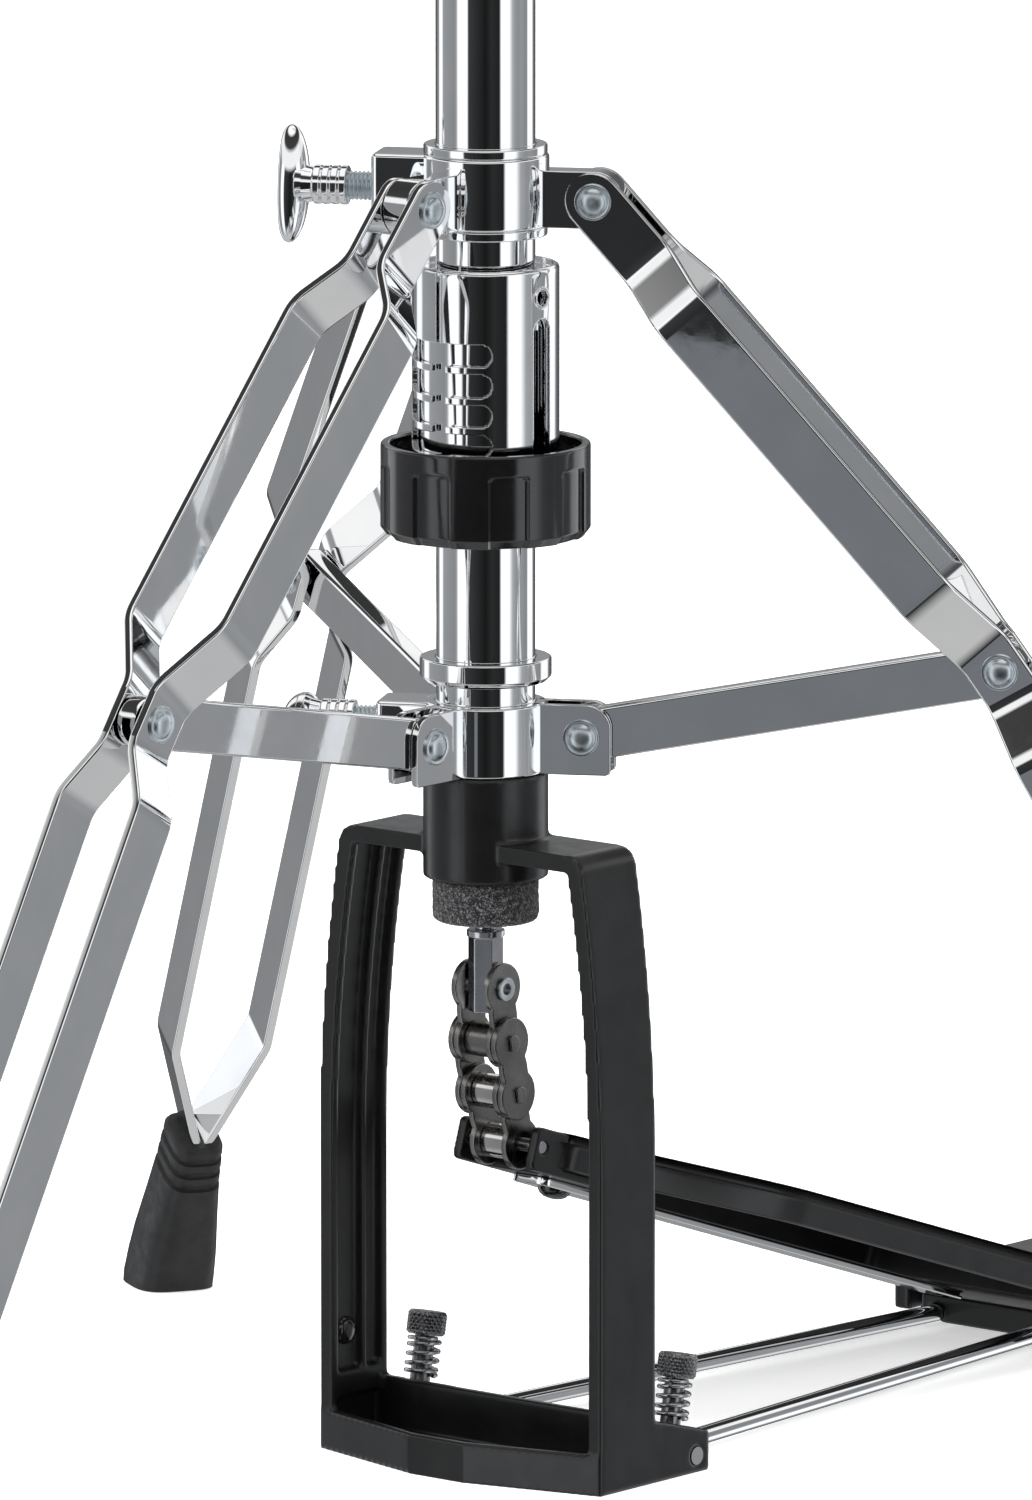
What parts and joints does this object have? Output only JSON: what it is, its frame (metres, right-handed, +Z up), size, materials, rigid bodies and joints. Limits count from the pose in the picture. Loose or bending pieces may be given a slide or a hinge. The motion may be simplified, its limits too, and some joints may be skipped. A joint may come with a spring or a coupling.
{
  "type": "hi-hat stand",
  "caption": "Chromed hi-hat stand with a folding double-braced tripod, cast black pedal frame, roller-chain pull, footboard, spring-tension ring, height tube and clutch.",
  "frame": {"origin": "on the floor under the tube's axis, on the underside of the base frame", "axes": "+Z up along the tube, +Y towards the heel of the footboard, +X to the drummer's left as seen from the front"},
  "size_m": [0.5216, 0.6183, 1.065],
  "materials": {
    "chrome": "polished",
    "wing_chrome": "polished casting",
    "cast_black": "satin",
    "black_plastic": "gloss",
    "grey_felt": "speckled felt",
    "rubber": "matte",
    "chain_steel": "oiled dark",
    "plain_steel": "bright",
    "spring_steel": "bright wire",
    "zinc": "zinc plated"
  },
  "bodies": {
    "base": {"base_frame": "cast_black", "frame_plugs": "black_plastic", "base_felt": "grey_felt", "lower_tube": "chrome", "retaining_ring": "chrome", "tension_housing": "chrome", "tension_liner": "chrome", "radius_rods": "chrome", "heel_plate": "cast_black", "heel_pads": "rubber", "heel_hinge_pin": "chrome", "height_clamp": "wing_chrome", "spur_spring_left": "spring_steel", "spur_spring_right": "spring_steel"},
    "spring_carrier": {"spring_seat": "plain_steel"},
    "tension_ring": {"tension_knob": "black_plastic"},
    "pull_rod": {"pull_rod_lower": "chrome", "pull_rod_upper": "chrome", "rod_end": "plain_steel", "rod_end_pin": "plain_steel", "return_spring": "spring_steel"},
    "chain_top": {"chain_link_top": "chain_steel", "chain_roller_top": "chain_steel"},
    "chain_middle": {"chain_link_middle": "chain_steel"},
    "chain_bottom": {"chain_link_bottom": "chain_steel", "chain_rollers_bottom": "chain_steel"},
    "pedal": {"footboard": "cast_black", "toe_bracket": "cast_black", "toe_pin": "plain_steel", "under_bar": "plain_steel", "toe_screw": "plain_steel"},
    "spur_left": {"spur_screw_left": "plain_steel"},
    "spur_right": {"spur_screw_right": "plain_steel"},
    "tripod_hub": {"lower_collar": "chrome", "lower_collar_rivets": "zinc"},
    "lower_wing": {"lower_wing_screw": "wing_chrome"},
    "upper_hub": {"upper_collar": "chrome", "upper_collar_bushing": "chrome", "upper_collar_rivets": "zinc"},
    "upper_wing": {"upper_wing_screw": "wing_chrome"},
    "height_tube": {"upper_tube": "chrome", "seat_cup": "chrome", "seat_felt": "grey_felt"},
    "clamp_wing": {"clamp_wing_screw": "wing_chrome"},
    "clutch": {"clutch_body": "chrome", "clutch_nuts": "chrome", "clutch_felts": "grey_felt"},
    "clutch_wing": {"clutch_wing_screw": "wing_chrome"},
    "leg_right": {"leg_right_strips": "chrome", "leg_right_foot": "rubber", "leg_right_rivets": "zinc"},
    "leg_right_brace_arm": {"leg_right_brace": "chrome"},
    "leg_left": {"leg_left_strips": "chrome", "leg_left_foot": "rubber", "leg_left_rivets": "zinc"},
    "leg_left_brace_arm": {"leg_left_brace": "chrome"},
    "leg_front": {"leg_front_strips": "chrome", "leg_front_foot": "rubber", "leg_front_rivets": "zinc"},
    "leg_front_brace_arm": {"leg_front_brace": "chrome"}
  },
  "joints": [
    {"name": "pedal_press", "type": "hinge", "parent": "base", "child": "pedal", "pos_m": [0, 0.243, 0.017], "axis": [1, 0, 0], "range_deg": [0, 10]},
    {"name": "rod_pull", "type": "slide", "parent": "base", "child": "pull_rod", "axis": [0, 0, 1], "range_m": [-0.046, 0], "stiffness_N_per_m": 500, "springref_m": 0.025, "deforming": ["return_spring"]},
    {"name": "chain_hinge_1", "type": "hinge", "parent": "pull_rod", "child": "chain_top", "pos_m": [0, 0, 0.1412], "axis": [1, 0, 0], "range_deg": [-8, 1]},
    {"name": "chain_hinge_2", "type": "hinge", "parent": "chain_top", "child": "chain_middle", "pos_m": [0, 0.00111, 0.12536], "axis": [1, 0, 0], "range_deg": [-9, 1]},
    {"name": "chain_hinge_3", "type": "hinge", "parent": "chain_middle", "child": "chain_bottom", "pos_m": [0, 0.00414, 0.10978], "axis": [1, 0, 0], "range_deg": [-6, 1]},
    {"name": "tension_slide", "type": "slide", "parent": "base", "child": "spring_carrier", "axis": [0, 0, 1], "range_m": [0, 0.0348]},
    {"name": "tension_turn", "type": "hinge", "parent": "spring_carrier", "child": "tension_ring", "pos_m": [0, 0, 0.285], "axis": [0, 0, 1], "range_deg": [-30, 30]},
    {"name": "tripod_swivel", "type": "hinge", "parent": "base", "child": "tripod_hub", "pos_m": [0, 0, 0.215], "axis": [0, 0, 1], "range_deg": [-20, 20]},
    {"name": "lower_wing_turn", "type": "hinge", "parent": "tripod_hub", "child": "lower_wing", "pos_m": [-0.02649, -0.01408, 0.218], "axis": [-0.8829, -0.4695, 0], "range_deg": [-180, 180]},
    {"name": "legs_fold", "type": "slide", "parent": "tripod_hub", "child": "upper_hub", "axis": [0, 0, 1], "range_m": [0, 0.1277]},
    {"name": "upper_wing_turn", "type": "hinge", "parent": "upper_hub", "child": "upper_wing", "pos_m": [-0.02649, -0.01408, 0.373], "axis": [-0.8829, -0.4695, 0], "range_deg": [-180, 180]},
    {"name": "height_slide", "type": "slide", "parent": "base", "child": "height_tube", "axis": [0, 0, 1], "range_m": [-0.06, 0.04]},
    {"name": "clamp_wing_turn", "type": "hinge", "parent": "base", "child": "clamp_wing", "pos_m": [-0.02649, -0.01408, 0.55], "axis": [-0.8829, -0.4695, 0], "range_deg": [-180, 180]},
    {"name": "clutch_slide", "type": "slide", "parent": "pull_rod", "child": "clutch", "axis": [0, 0, 1], "range_m": [-0.03, 0.03]},
    {"name": "clutch_wing_turn", "type": "hinge", "parent": "clutch", "child": "clutch_wing", "pos_m": [-0.00883, -0.0047, 1.005], "axis": [-0.8829, -0.4695, 0], "range_deg": [-180, 180]},
    {"name": "spur_left_slide", "type": "slide", "parent": "base", "child": "spur_left", "axis": [0, -0.1908, -0.9816], "range_m": [0, 0.006], "deforming": ["spur_spring_left"]},
    {"name": "spur_right_slide", "type": "slide", "parent": "base", "child": "spur_right", "axis": [0, -0.1908, -0.9816], "range_m": [0, 0.006], "deforming": ["spur_spring_right"]},
    {"name": "leg_right_hinge", "type": "hinge", "parent": "upper_hub", "child": "leg_right", "pos_m": [0.02797, 0.01615, 0.371], "axis": [-0.5, 0.866, 0], "range_deg": [-1, 27]},
    {"name": "leg_right_brace_hinge", "type": "hinge", "parent": "tripod_hub", "child": "leg_right_brace_arm", "pos_m": [0.02485, 0.01435, 0.2156], "axis": [-0.5, 0.866, 0], "range_deg": [-55.88, 1]},
    {"name": "leg_left_hinge", "type": "hinge", "parent": "upper_hub", "child": "leg_left", "pos_m": [-0.02797, 0.01615, 0.371], "axis": [-0.5, -0.866, 0], "range_deg": [-1, 27]},
    {"name": "leg_left_brace_hinge", "type": "hinge", "parent": "tripod_hub", "child": "leg_left_brace_arm", "pos_m": [-0.02485, 0.01435, 0.2156], "axis": [-0.5, -0.866, 0], "range_deg": [-55.88, 1]},
    {"name": "leg_front_hinge", "type": "hinge", "parent": "upper_hub", "child": "leg_front", "pos_m": [0, -0.0323, 0.371], "axis": [1, 0, 0], "range_deg": [-1, 27]},
    {"name": "leg_front_brace_hinge", "type": "hinge", "parent": "tripod_hub", "child": "leg_front_brace_arm", "pos_m": [0, -0.0287, 0.2156], "axis": [1, 0, 0], "range_deg": [-55.88, 1]}
  ],
  "couplings": [
    {"joint": "rod_pull", "follows": "pedal_press", "m_per_rad": -0.23547},
    {"joint": "chain_hinge_1", "follows": "pedal_press", "ratio": -0.59695},
    {"joint": "chain_hinge_2", "follows": "pedal_press", "ratio": -0.7},
    {"joint": "chain_hinge_3", "follows": "pedal_press", "ratio": -0.4},
    {"joint": "leg_right_hinge", "follows": "legs_fold", "rad_per_m": 3.5535},
    {"joint": "leg_right_brace_hinge", "follows": "legs_fold", "rad_per_m": -7.5006},
    {"joint": "leg_left_hinge", "follows": "legs_fold", "rad_per_m": 3.5535},
    {"joint": "leg_left_brace_hinge", "follows": "legs_fold", "rad_per_m": -7.5006},
    {"joint": "leg_front_hinge", "follows": "legs_fold", "rad_per_m": 3.5535},
    {"joint": "leg_front_brace_hinge", "follows": "legs_fold", "rad_per_m": -7.5006}
  ]
}
